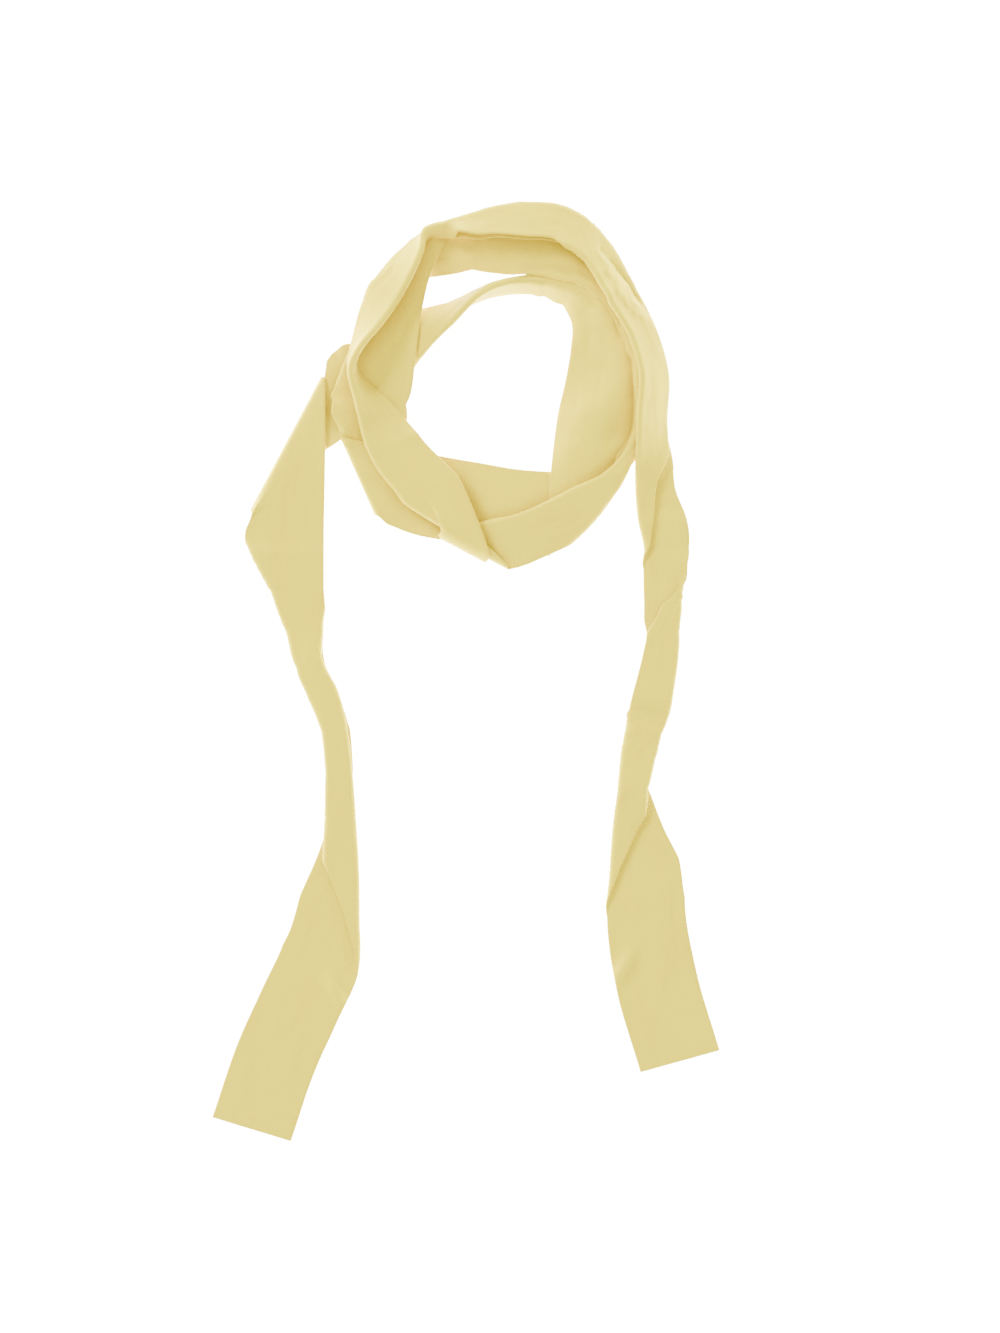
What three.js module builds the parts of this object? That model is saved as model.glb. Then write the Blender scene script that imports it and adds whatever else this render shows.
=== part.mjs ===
// A long narrow scarf of double cloth, laid flat: a left tail, two loops in a ring, and a right tail.
// It is one closed band, worked out from a short table of cross sections along its length.
// Millimetres, +Z up, lying on z = 0, with the ring at the +Y end.

import * as THREE from 'three';

// Driving dimensions
const bandWidth = 50; // the cloth's width where it lies open
const clothThickness = 1.2; // both layers of the double cloth together
const foldArc = 4.2; // length of cloth in a sharp lengthwise fold
const softArc = 16; // length of cloth in a gentle bend
const acrossSteps = 10; // faces across the band
const rowSpacing = 5.8; // distance between sections along the band
const stationSpacing = 5.8; // distance between stations while the layers are laid on each other
const keptStations = 2; // one station in so many is kept in the finished band
const layerClearance = 2.2; // from the middle of one layer to the middle of the next
const layerReach = 3.6; // points nearer than this on the plan lie on each other
const ownCloth = 11; // points nearer than this along the cloth belong to one fold
const unclearHeight = 0.4; // points of one stretch whose heights differ by less keep them
const uprightShare = 0.35; // cloth steeper than this stands beside its neighbour, not on it
const settleTurns = 60; // times that crossing layers are lifted apart
const smoothTurns = 48; // so many of them also smooth what was lifted
const smoothShare = 0.5;
const clothColour = '#e6d890';
const clothRoughness = 0.62;

const restHeight = clothThickness / 2; // middle of the cloth where it lies on the surface
const flatHalfTurn = 120; // a turn beyond this many degrees is a sharp fold

// Each row is one cross section, from edge A to edge B of the band.
//   x, y, z      where the pinned point of the section lies
//   across       direction on the plan in which the section runs, in degrees
//   width        how long the section is, more than the band's width where it is cut at a slant
//   a, m, b      slope of the cloth from A to B in its first, middle and last part, in degrees,
//                180 or -180 where that part is folded back under or over the middle one
//   fa, fb       how far along the section the two bends are, as parts of its width
//   pin          which point of the section is pinned, from 0 at A to 1 at B
const smoothColumns = 5; // the first five, which say where the section lies
const columns = ['x', 'y', 'z', 'across', 'width', 'a', 'm', 'b', 'fa', 'fb', 'pin'];

// The left tail, from its end up to the slanted fold behind it. The band turns over on the way.
const leftTail = [
  [-108.9, -294.3, 0.6, -17, 50, 0, 180, 360, 1.15, 1.3, 1],
  [-93.8, -250.4, 0.6, -22, 50, 0, 180, 360, 1.12, 1.3, 1],
  [-79.8, -219.4, 0.6, -22, 50, 0, 180, 360, 1.08, 1.25, 1],
  [-67, -190, 0.8, -22, 50, 0, 180, 360, 1, 1.2, 1],
  [-66, -154, 1.9, -20, 50, 0, 180, 360, 0.78, 1.12, 0.78],
  [-66.5, -122, 1.9, -8, 50, 0, 180, 360, 0.53, 1, 0.53],
  [-68.4, -91, 2.4, 0, 50, 3, 180, 360, 0.3, 0.7, 0.3],
  [-70.5, -63, 3.6, 0, 50, 5, 180, 360, 0.31, 0.66, 0.31],
  [-73.4, -38, 3.6, 4, 50, 5, 180, 360, 0.31, 0.65, 0.31],
  [-79.7, -13, 3, 18, 50, 4, 180, 360, 0.24, 0.64, 0.24],
  [-89, 6, 3, 20, 50, 5, 180, 360, 0.28, 0.64, 0.28],
  [-88.6, 28, 2.4, 12, 50, 2, 180, 360, 0.04, 0.53, 0.04],
  [-88.4, 50, 2.2, 6, 50, 0, 180, 360, -0.1, 0.65, 0],
  [-88.4, 68, 1.9, 0, 50, 0, 180, 360, -0.1, 0.88, 0],
  [-88.4, 87, 2.6, 0, 47.5, 0, 180, 360, -0.1, 1.1, 0],
];

// Behind the left tail and across under the ring, to the pinch and the ring's right inner side.
const firstLoop = [
  [-103, 127, 0.6, 254, 60, 0, -180, -180, 1.2, 1.3, 1],
  [-74, 146, 0.6, 280, 51, 0, -180, -180, 1.08, 1.3, 1],
  [-58, 158, 0.8, 289, 52, 0, -180, -180, 0.92, 1.25, 0.92],
  [-40, 173, 2, 298, 50, 0, -180, -180, 0.72, 1.2, 0.72],
  [-32, 188, 2, 300, 50, 2, -178, -178, 0.62, 1.1, 0.62],
  [-23, 199, 6, 300, 50, 18, -162, -162, 0.56, 1, 0.56],
  [-14.5, 208, 12, 298, 46, 40, -134, -134, 0.54, 0.9, 0.54],
  [-5.5, 217, 17, 293, 42, 58, -112, -112, 0.52, 0.9, 0.52],
  [1.5, 225, 18.5, 287, 40, 70, -98, -98, 0.5, 0.8, 0.5],
  [10, 233, 19.5, 280, 40, 80, -86, -86, 0.5, 0.8, 0.5],
  [22, 239, 20, 276, 42, 84, -78, -78, 0.5, 0.8, 0.5],
  [32, 241.5, 20, 272, 42, 86, -74, -74, 0.5, 0.8, 0.5],
  [47, 243, 19.5, 266, 43, 88, -68, -64, 0.48, 0.8, 0.48],
  [61.5, 228, 0.8, 246, 45, 88, -66, -48, 0.42, 0.75, 1],
  [67.5, 216, 0.8, 221, 48, 86, -58, -22, 0.34, 0.66, 1],
  [67.2, 202, 0.8, 203, 50, 84, -36, -10, 0.25, 0.62, 1],
  [64.5, 184, 0.8, 186, 50, 56, -18, -10, 0.18, 0.6, 1],
  [59, 159, 0.8, 186, 54, 22, -4, -26, 0.34, 0.62, 1],
  [56, 137, 1, 190, 54, 16, -6, -28, 0.5, 0.7, 1],
  [53, 107, 3.2, 208, 58, 8, 0, -6, 0.3, 0.6, 1],
];

// Along the bottom of the ring and round its left inner side.
const firstReturn = [
  [55, 96, 0.6, 237, 60, 0, 0, 0, 0.3, 0.7, 0.5],
  [33, 98, 0.6, 253, 53, 0, 0, 0, 0.3, 0.7, 0.5],
  [2, 104, 0.6, 261, 50, 0, 0, 0, 0.3, 0.7, 0.5],
  [-26, 109, 1.4, 261, 50, 0, 0, 0, 0.3, 0.7, 0.5],
  [-49, 115, 4.6, 272, 48, 0, 0, 0, 0.3, 0.7, 0.5],
];
const secondLoop = [
  [-62, 147, 3.4, 329, 48, 176, -14, -2, -0.1, 0.5, 0.5],
  [-37, 165, 5.4, 353, 46, 176, -6, 6, -0.1, 0.6, 1],
  [-31, 194, 7.4, 352, 48, 174, -2, 12, 0.14, 0.8, 1],
  [-27, 224, 7.4, 352, 50, 176, -2, 10, 0.25, 0.8, 1],
  [-22, 245, 6.4, 364, 50, 178, 0, 6, 0.28, 0.8, 1],
  [-17, 257, 5.6, 386, 54, 178, 0, 0, 0.28, 0.7, 1],
];

// The top of the second loop, then the right side, where it stands folded with its fold up.
const secondReturn = [
  [-13, 255, 0.6, 48, 44, 0, 0, -180, 0.3, 1.2, 0.3],
  [5, 250, 0.6, 72, 36, 6, 4, -180, 0.3, 1.2, 0],
  [26, 247, 0.6, 88, 39, 6, 4, -180, 0.3, 1.2, 0],
  [47, 245, 0.6, 86, 42, 8, 6, -180, 0.3, 1.15, 0],
  [68, 241, 0.8, 68, 46, 18, 2, -180, 0.3, 0.77, 0],
  [80, 242, 6, 53, 42, 30, -14, -180, 0.34, 0.6, 0.17],
  [91, 240, 11, 38, 38, 42, -32, -180, 0.4, 0.64, 0.4],
  [102, 223, 12.5, 21, 36, 56, -40, -180, 0.39, 0.64, 0.39],
  [106, 202, 13, 8, 40, 76, -42, -180, 0.35, 0.7, 0.35],
  [107.5, 180, 13, 1, 40, 84, -42, -180, 0.35, 0.7, 0.35],
  [108, 162, 13, -4, 40, 86, -42, -180, 0.35, 0.7, 0.35],
  [106, 146, 13, -14, 38, 92, -44, -180, 0.37, 0.71, 0.37],
  [98, 132, 12.5, -36, 35, 124, -40, -180, 0.4, 0.7, 0.4],
  [86, 121, 11, -48, 40, 166, -22, -180, 0.375, 0.77, 0.375],
  [69, 113, 10, -62, 50, 172, -14, -180, 0.36, 0.89, 0.36],
  [53, 105, 8.4, -74, 50, 174, -10, -180, 0.37, 1.05, 0.37],
  [35, 97, 6.8, -80, 50, 176, -6, -180, 0.36, 1.2, 0.36],
  [14, 92, 6.4, -66, 54, 178, -4, -180, 0.39, 1.2, 0.39],
];

// Over the bottom left of the ring, through the waist and up its left side.
const thirdLoop = [
  [-38, 104, 10.2, 206, 54, 0, -180, -180, 0.7, 1.1, 0.7],
  [-59, 134, 10.4, 203, 50, 8, -172, -172, 0.66, 1, 0.66],
  [-67, 165, 15, 188, 46, 42, -132, -132, 0.56, 0.9, 0.56],
  [-70, 188, 24, 176, 38, 84, -86, -86, 0.5, 0.8, 0.5],
  [-64, 199, 25, 156, 38, 100, -72, -72, 0.5, 0.8, 0.5],
  [-52, 213, 22.5, 149, 44, 124, -46, -46, 0.5, 0.8, 0.5],
  [-40, 230, 20, 148, 48, 138, -34, -32, 0.5, 0.8, 0.5],
  [-30, 250, 21, 146, 46, 120, -50, -50, 0.5, 0.8, 0.5],
  [-26, 261, 19, 140, 36, 104, -60, -60, 0.5, 0.8, 0.5],
  [-24.5, 272.5, 16, 133, 31, 76, -95, -95, 0.5, 0.8, 0.5],
  [-16.5, 277, 13, 126, 27, 44, -130, -130, 0.5, 0.8, 0.5],
  [-12.5, 278.4, 10, 121, 25, 0, -166, -166, 0.5, 0.8, 0.5],
  [-8, 279.8, 8, 117, 26, -38, -200, -200, 0.5, 0.8, 0.5],
  [2, 283, 6, 111, 35, -32, -200, -200, 0.5, 0.8, 0.5],
  [14, 287, 5.6, 106, 40, -26, -200, -200, 0.5, 0.8, 0.5],
];
const thirdTop = [
  [35, 291, 5, 93, 50, 160, -24, -200, -0.1, 0.5, 0.5],
  [60, 289, 5, 78, 50, 160, -22, -200, -0.1, 0.5, 0.5],
  [77, 280, 6, 60, 50, 160, -26, -204, 0.02, 0.56, 0.56],
  [90, 266, 6, 45, 50, 156, -34, -206, 0.24, 0.76, 0.76],
  [105, 240, 3.6, 28, 50, 138, -48, -206, 0.42, 1, 1],
  [119, 212, 3, 15, 50, 134, -48, -206, 0.5, 1.15, 1],
  [127, 184, 3, 2, 50, 134, -46, -206, 0.5, 1.2, 1],
  [126, 156, 3, -6, 50, 136, -44, -206, 0.5, 1.2, 1],
];

// The right tail, turning over on its way down to the open end.
const rightTail = [
  [107, 134, 12, -4, 48, 360, 156, -27, -0.1, 0.54, 0.54],
  [107, 117, 5, 0, 38, 360, 172, -3, -0.1, 0.65, 0.65],
  [109, 92, 3.4, 0, 39.5, 360, 180, 0, -0.1, 0.77, 0.77],
  [112.5, 76, 2.4, 0, 31.5, 360, 180, 0, -0.1, 0.89, 0.89],
  [112.3, 62, 1.6, 0, 26.3, 360, 180, 0, -0.1, 1.1, 1],
  [112.4, 56, 1.6, 0, 26, 360, 180, 0, -0.03, 1.1, 1],
  [112.5, 50, 2, 0, 27.5, 360, 180, 0, 0.11, 1.1, 1],
  [112.8, 40, 2, 0, 35.3, 360, 180, 0, 0.34, 1.1, 1],
  [112.8, 30, 2, 0, 38.5, 360, 180, 0, 0.42, 1.1, 1],
  [114.4, 22, 2, 0, 40, 360, 180, 0, 0.5, 1.1, 1],
  [112.6, 12, 2, -2, 43, 360, 180, 0, 0.5, 1.1, 1],
  [105, -18, 3, -9, 50, 360, 180, 0, 0.5, 1.05, 1],
];
const tailEnd = [
  [103.5, -25, 3.5, -9, 50, 540, 360, 180, -0.06, 0.5, 0],
  [101, -36, 3.3, -9, 50, 540, 360, 180, 0.12, 0.6, 0.12],
  [98.7, -48, 3.6, -6, 50, 538, 360, 180, 0.27, 0.74, 0.27],
  [96, -74, 5, 0, 50, 534, 360, 178, 0.38, 0.78, 0.38],
  [92.8, -100, 2, 8, 48, 540, 360, 180, 0.64, 1.1, 0.64],
  [91, -127, 1.6, 12, 50, 540, 360, 180, 0.88, 1.3, 0.88],
  [89.6, -155, 0.9, 14, 49, 540, 360, 180, 1.05, 1.3, 1],
  [95.3, -199, 0.6, 15, 50, 540, 360, 180, 1.1, 1.3, 1],
  [110.4, -251.2, 0.6, 15.5, 50, 540, 360, 180, 1.15, 1.3, 1],
];

// Slanted folds, where the whole band turns over along a straight crease.
//   x, y           pinned point of the crease, as above
//   before, after  height of the cloth before and after it
//   out            direction on the plan in which the crease faces, in degrees
const creaseColumns = [
  'x', 'y', 'before', 'after', 'out', 'across', 'width', 'a', 'm', 'b', 'fa', 'fb', 'pin',
];
const creases = {
  leftTail: [-110, 140, 3, 0.6, 152, 242, 94, 0, 0, 0, 0.3, 0.7, 0.5],
  lowerRight: [75, 98, 3.2, 0.6, -42, 228, 70, 0, 0, 0, 0.3, 0.7, 0.5],
  lowerLeft: [-65, 120, 5.2, 2.6, 156, 294, 52, 0, 0, 0, 0.3, 0.7, 0.5],
  upperLeft: [-9, 276, 4.6, 0.8, 125, 35, 51, 0, 0, 0, 0.3, 0.7, 1],
  bottom: [-14, 86, 4.6, 10.2, 240, -28, 80, 180, 0, 0, 0.42, 0.8, 0.42],
};

const radians = Math.PI / 180;

function named(row, names) {
  return Object.fromEntries(names.map((name, i) => [name, row[i]]));
}

function directionOnPlan(degrees) {
  return new THREE.Vector3(Math.cos(degrees * radians), Math.sin(degrees * radians), 0);
}

// A slanted fold as three sections: before it, at the crease's outer side, and after it.
function creaseSections(crease) {
  const out = directionOnPlan(crease.out);
  const rise = crease.after - crease.before;
  return [0, 90, 180].map((turned) => {
    const reach = (Math.abs(rise) / 2) * Math.sin(turned * radians);
    const inward = -Math.sign(rise) * Math.sin(turned * radians);
    return {
      ...crease,
      x: crease.x + out.x * reach,
      y: crease.y + out.y * reach,
      z: crease.before + (rise * turned) / 180,
      up: new THREE.Vector3(out.x * inward, out.y * inward, Math.cos(turned * radians)),
    };
  });
}

// The slope of the cloth turns from one value to the next over the length of an arc.
function turn(from, to, place, at, width) {
  const arc = Math.abs(to - from) > flatHalfTurn ? foldArc : softArc;
  const share = THREE.MathUtils.clamp(((place - at) * width) / arc + 0.5, 0, 1);
  return (to - from) * share;
}

// Points of one section, from A to B: the slope summed up along the cloth.
function sectionPoints(section) {
  const fine = 8;
  const count = acrossSteps * fine;
  const plan = directionOnPlan(section.across);
  const up = section.up ?? new THREE.Vector3(0, 0, 1);
  const path = [new THREE.Vector2(0, 0)];
  for (let i = 0; i < count; i += 1) {
    const place = (i + 0.5) / count;
    const slope = section.a
      + turn(section.a, section.m, place, section.fa, section.width)
      + turn(section.m, section.b, place, section.fb, section.width);
    const step = new THREE.Vector2(Math.cos(slope * radians), Math.sin(slope * radians));
    path.push(path[i].clone().addScaledVector(step, section.width / count));
  }
  const pinned = path[Math.round(section.pin * count)];
  const lowest = section.z + Math.min(...path.map((point) => point.y - pinned.y));
  const lift = section.up ? 0 : Math.max(0, restHeight - lowest);
  const points = [];
  for (let i = 0; i <= acrossSteps; i += 1) {
    const flat = path[i * fine].clone().sub(pinned);
    const point = new THREE.Vector3(section.x, section.y, section.z + lift);
    points.push(point.addScaledVector(plan, flat.x).addScaledVector(up, flat.y));
  }
  return points;
}

// A table with more rows: places and directions follow a smooth line through the given rows, and slopes
// and folds change evenly from row to row.
function denserRows(table) {
  const knots = [0];
  for (let i = 1; i < table.length; i += 1) {
    const gap = Math.hypot(table[i][0] - table[i - 1][0], table[i][1] - table[i - 1][1]);
    knots.push(knots[i - 1] + Math.max(gap, 1));
  }
  const last = table.length - 1;
  const tangent = (i, column) => {
    const before = Math.max(i - 1, 0);
    const after = Math.min(i + 1, last);
    return (table[after][column] - table[before][column]) / (knots[after] - knots[before]);
  };
  const rows = [];
  for (let i = 0; i < last; i += 1) {
    const step = knots[i + 1] - knots[i];
    const count = Math.max(1, Math.round(step / rowSpacing));
    for (let k = 0; k < count; k += 1) {
      const u = k / count;
      rows.push(table[i].map((from, column) => {
        const to = table[i + 1][column];
        if (column >= smoothColumns) return from + (to - from) * u;
        const leaving = (u ** 3 - 2 * u ** 2 + u) * tangent(i, column);
        const arriving = (u ** 3 - u ** 2) * tangent(i + 1, column);
        return from + (to - from) * (3 * u ** 2 - 2 * u ** 3) + step * (leaving + arriving);
      }));
    }
  }
  rows.push(table[last]);
  return rows;
}

// The whole band in its order. A slanted fold follows each stretch but the last, and laysUnder says that the
// next stretch goes under this one there.
const stretches = [
  { tables: [leftTail], fold: creases.leftTail, laysUnder: true },
  { tables: [firstLoop], fold: creases.lowerRight, laysUnder: true },
  { tables: [firstReturn], fold: creases.lowerLeft, laysUnder: true },
  { tables: [secondLoop], fold: creases.upperLeft, laysUnder: true },
  { tables: [secondReturn], fold: creases.bottom, laysUnder: false },
  { tables: [thirdLoop, thirdTop, rightTail, tailEnd] },
];

const sections = [];
stretches.forEach((stretch, number) => {
  for (const row of stretch.tables.flatMap(denserRows)) {
    sections.push({ ...named(row, columns), stretch: number });
  }
  if (stretch.fold) {
    for (const section of creaseSections(named(stretch.fold, creaseColumns))) {
      sections.push({ ...section, stretch: number + 0.5 });
    }
  }
});

// Smooth lines run along the band through the same point of every section.
function loftStations() {
  const keys = sections.map(sectionPoints);
  const middle = acrossSteps / 2;
  const lines = [];
  for (let j = 0; j <= acrossSteps; j += 1) {
    lines.push(new THREE.CatmullRomCurve3(keys.map((points) => points[j]), false, 'centripetal'));
  }
  const stations = [];
  for (let i = 0; i < keys.length - 1; i += 1) {
    const reach = Math.max(
      keys[i][0].distanceTo(keys[i + 1][0]),
      keys[i][middle].distanceTo(keys[i + 1][middle]),
      keys[i][acrossSteps].distanceTo(keys[i + 1][acrossSteps]),
    );
    const count = Math.max(1, Math.round(reach / stationSpacing));
    for (let k = 0; k < count; k += 1) {
      const along = (i + k / count) / (keys.length - 1);
      const station = lines.map((line) => line.getPoint(along));
      for (const point of station) {
        point.z = Math.max(point.z, restHeight);
      }
      station.stretch = THREE.MathUtils.lerp(sections[i].stretch, sections[i + 1].stretch, k / count);
      stations.push(station);
    }
  }
  const end = keys[keys.length - 1];
  end.stretch = sections[keys.length - 1].stretch;
  stations.push(end);
  return stations;
}

// Direction in which the cloth faces at each point of the grid of stations.
function gridNormals(stations) {
  return stations.map((station, i) => {
    const before = stations[Math.max(i - 1, 0)];
    const after = stations[Math.min(i + 1, stations.length - 1)];
    return station.map((point, j) => {
      const along = after[j].clone().sub(before[j]);
      const left = station[Math.max(j - 1, 0)];
      const right = station[Math.min(j + 1, acrossSteps)];
      return right.clone().sub(left).cross(along).normalize();
    });
  });
}

// Pairs of points that lie on each other on the plan, and the height that one keeps above the other. A later
// stretch lies on an earlier one, but under the one that it follows round a slanted fold that lays it under.
// Two points of one stretch keep the order that their own folds give them.
function crossingPairs(stations) {
  const normals = gridNormals(stations);
  const middle = acrossSteps / 2;
  const points = [];
  let along = 0;
  stations.forEach((station, i) => {
    if (i > 0) along += station[middle].distanceTo(stations[i - 1][middle]);
    station.forEach((point, j) => {
      const wide = (j / acrossSteps) * bandWidth;
      const upright = Math.abs(normals[i][j].z) < uprightShare;
      points.push({ point, along, wide, upright, stretch: Math.floor(station.stretch + 0.5) });
    });
  });
  const cells = new Map();
  const cellOf = (value) => Math.floor(value / layerReach);
  const pairs = [];
  for (const later of points) {
    const cellX = cellOf(later.point.x);
    const cellY = cellOf(later.point.y);
    for (let x = cellX - 1; x <= cellX + 1; x += 1) {
      for (let y = cellY - 1; y <= cellY + 1; y += 1) {
        for (const earlier of cells.get(`${x},${y}`) ?? []) {
          const distance = Math.hypot(later.point.x - earlier.point.x, later.point.y - earlier.point.y);
          const cloth = Math.hypot(later.along - earlier.along, later.wide - earlier.wide);
          const rise = later.point.z - earlier.point.z;
          const jump = later.stretch - earlier.stretch;
          const clear = jump > 0 || Math.abs(rise) > unclearHeight;
          const flat = !later.upright && !earlier.upright;
          if (distance < layerReach && cloth > ownCloth && clear && flat) {
            const under = jump === 1 && stretches[earlier.stretch].laysUnder;
            const laterAbove = jump === 0 ? rise > 0 : !under;
            const need = layerClearance * Math.sqrt(1 - (distance / layerReach) ** 2);
            const upper = laterAbove ? later : earlier;
            const lower = laterAbove ? earlier : later;
            pairs.push({ upper, lower, need });
          }
        }
      }
    }
    const key = `${cellX},${cellY}`;
    if (!cells.has(key)) cells.set(key, []);
    cells.get(key).push(later);
  }
  return { points, pairs };
}

// Crossing layers are lifted apart, a little at a time. Only heights change, so the outline stays.
function settleLayers(stations) {
  const { points, pairs } = crossingPairs(stations);
  const perStation = acrossSteps + 1;
  const last = stations.length - 1;
  const start = points.map((entry) => entry.point.z);
  for (let turn = 0; turn < settleTurns; turn += 1) {
    for (const entry of points) {
      entry.up = 0;
      entry.down = 0;
    }
    for (const { upper, lower, need } of pairs) {
      const short = Math.max(0, need - (upper.point.z - lower.point.z)) / 2;
      upper.up = Math.max(upper.up, short);
      lower.down = Math.max(lower.down, short);
    }
    let change = points.map((entry, n) => entry.point.z + entry.up - entry.down - start[n]);
    if (turn < smoothTurns) {
      const at = (i, j) => {
        const row = THREE.MathUtils.clamp(i, 0, last);
        return change[row * perStation + THREE.MathUtils.clamp(j, 0, acrossSteps)];
      };
      change = change.map((value, n) => {
        const i = Math.floor(n / perStation);
        const j = n % perStation;
        const around = (at(i - 1, j) + at(i + 1, j) + at(i, j - 1) + at(i, j + 1)) / 4;
        return value + smoothShare * (around - value);
      });
    }
    points.forEach((entry, n) => {
      entry.point.z = Math.max(start[n] + change[n], restHeight);
    });
  }
  return stations.filter((_, i) => i % keptStations === 0 || i === last);
}

// The band's closed surface: two faces half a thickness either side of the middle, and its edges.
function bandGeometry() {
  const stations = settleLayers(loftStations());
  const normals = gridNormals(stations);
  const positions = [];
  const indices = [];
  const perStation = acrossSteps + 1;
  const faceSize = stations.length * perStation;
  for (const side of [1, -1]) {
    stations.forEach((station, i) => {
      station.forEach((point, j) => {
        const shifted = point.clone().addScaledVector(normals[i][j], (side * clothThickness) / 2);
        positions.push(shifted.x, shifted.y, shifted.z);
      });
    });
  }
  const quad = (p, q, r, s) => indices.push(p, q, r, p, r, s);
  const last = stations.length - 1;
  for (let i = 0; i < last; i += 1) {
    for (let j = 0; j < acrossSteps; j += 1) {
      const p = i * perStation + j;
      quad(p, p + 1, p + perStation + 1, p + perStation);
      const u = p + faceSize;
      quad(u, u + perStation, u + perStation + 1, u + 1);
    }
    const a = i * perStation;
    const b = a + acrossSteps;
    quad(a, a + perStation, a + perStation + faceSize, a + faceSize);
    quad(b, b + faceSize, b + perStation + faceSize, b + perStation);
  }
  for (let j = 0; j < acrossSteps; j += 1) {
    const e = last * perStation + j;
    quad(j, j + faceSize, j + 1 + faceSize, j + 1);
    quad(e, e + 1, e + 1 + faceSize, e + faceSize);
  }
  const geometry = new THREE.BufferGeometry();
  geometry.setAttribute('position', new THREE.Float32BufferAttribute(positions, 3));
  geometry.setIndex(indices);
  return geometry;
}

// The origin is put under the middle of the laid scarf.
function centred(geometry) {
  geometry.computeBoundingBox();
  const box = geometry.boundingBox;
  const middle = box.getCenter(new THREE.Vector3());
  geometry.translate(-middle.x, -middle.y, -box.min.z);
  geometry.computeVertexNormals();
  return geometry;
}

const cloth = new THREE.MeshStandardMaterial({
  color: clothColour,
  roughness: clothRoughness,
  metalness: 0,
});

const band = new THREE.Mesh(centred(bandGeometry()), cloth);
band.name = 'scarf_band';

const group = new THREE.Group();
group.add(band);

export default group;
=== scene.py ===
import bpy
import numpy as np
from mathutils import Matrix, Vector


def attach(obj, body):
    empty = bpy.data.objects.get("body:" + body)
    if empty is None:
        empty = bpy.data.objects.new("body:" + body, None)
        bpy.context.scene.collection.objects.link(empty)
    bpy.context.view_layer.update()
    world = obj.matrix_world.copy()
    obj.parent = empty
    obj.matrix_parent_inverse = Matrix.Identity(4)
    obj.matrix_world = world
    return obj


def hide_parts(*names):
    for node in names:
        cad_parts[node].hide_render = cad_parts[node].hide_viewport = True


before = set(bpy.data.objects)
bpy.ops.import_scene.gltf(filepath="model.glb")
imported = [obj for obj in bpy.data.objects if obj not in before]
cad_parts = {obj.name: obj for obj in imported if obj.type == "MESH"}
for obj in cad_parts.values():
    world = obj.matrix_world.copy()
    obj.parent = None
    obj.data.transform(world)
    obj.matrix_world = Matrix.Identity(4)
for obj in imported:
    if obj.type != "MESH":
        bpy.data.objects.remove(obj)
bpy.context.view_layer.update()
mm = 0.001  # metres

# The whole scarf is one band of double cloth, worked out as a surface of two parameters, along and across
band = {
    "width": 50.0,  # mm
    "thickness": 1.5,  # both layers of the double cloth together, mm
    "sharpArc": 4.6,  # cloth in a sharp lengthwise fold, mm
    "softArc": 16.0,  # cloth in a gentle bend, mm
    "flatHalfTurn": 120.0,  # a turn beyond this many degrees is a sharp fold
    "acrossSteps": 34,
    "rowSpacing": 4.5,  # mm between sections
    "stationSpacing": 2.6,  # mm between stations of the mesh
    "origin": (1.255, -0.281),  # where the frame's origin lies in the tables, mm
}

# How layers that cross are laid on each other
layers = {
    "reach": 3.0,  # mm on the plan
    "clearance": 2.2,  # mm from the middle of one layer to the next
    "ownCloth": 9.0,  # mm along the cloth, nearer points are one fold
    "unclear": 0.4,  # mm, points of one stretch with less between their heights keep them
    "upright": 0.35,  # cloth steeper than this stands beside its neighbour, not on it
    "topStretch": 4,  # the stretch after this one goes over it, earlier ones go under the one before
    "turns": 90,  # rounds of lifting
    "smoothTurns": 75,  # rounds that also smooth the lift
    "smooth": 0.5,  # share of the smoothing in a round
    "push": 0.5,  # share of the missing clearance that each of two points makes up in a round
}

# Each row is one cross section, from edge A to edge B of the band, in millimetres and degrees:
# x, y, z of its pinned point, the direction across on the plan, its width, the cloth's slope in its first,
# middle and last part (180 or -180 where that part is folded back), the two bends and the pinned point as
# parts of the width. The stretches follow each other from the left tail's end to the right tail's end.
leftTail = [
    [-108.9, -294.3, 0.6, -17, 50, 0, 180, 360, 1.15, 1.3, 1],
    [-93.8, -250.4, 0.6, -22, 50, 0, 180, 360, 1.12, 1.3, 1],
    [-79.8, -219.4, 0.6, -22, 50, 0, 180, 360, 1.08, 1.25, 1],
    [-67, -190, 0.8, -22, 50, 0, 180, 360, 1, 1.2, 1],
    [-66, -154, 1.9, -20, 50, 0, 180, 360, 0.78, 1.12, 0.78],
    [-66.5, -122, 1.9, -8, 50, 0, 180, 360, 0.53, 1, 0.53],
    [-68.4, -91, 2.4, 0, 50, 3, 180, 360, 0.3, 0.7, 0.3],
    [-70.5, -63, 3.6, 0, 50, 5, 180, 360, 0.31, 0.66, 0.31],
    [-73.4, -38, 3.6, 4, 50, 5, 180, 360, 0.31, 0.65, 0.31],
    [-79.7, -13, 3, 18, 50, 4, 180, 360, 0.24, 0.64, 0.24],
    [-89, 6, 3, 20, 50, 5, 180, 360, 0.28, 0.64, 0.28],
    [-88.6, 28, 2.4, 12, 50, 2, 180, 360, 0.04, 0.53, 0.04],
    [-88.4, 50, 2.2, 6, 50, 0, 180, 360, -0.1, 0.65, 0],
    [-88.4, 68, 1.9, 0, 50, 0, 180, 360, -0.1, 0.88, 0],
    [-88.4, 87, 2.6, 0, 47.5, 0, 180, 360, -0.1, 1.1, 0],
]

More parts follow.
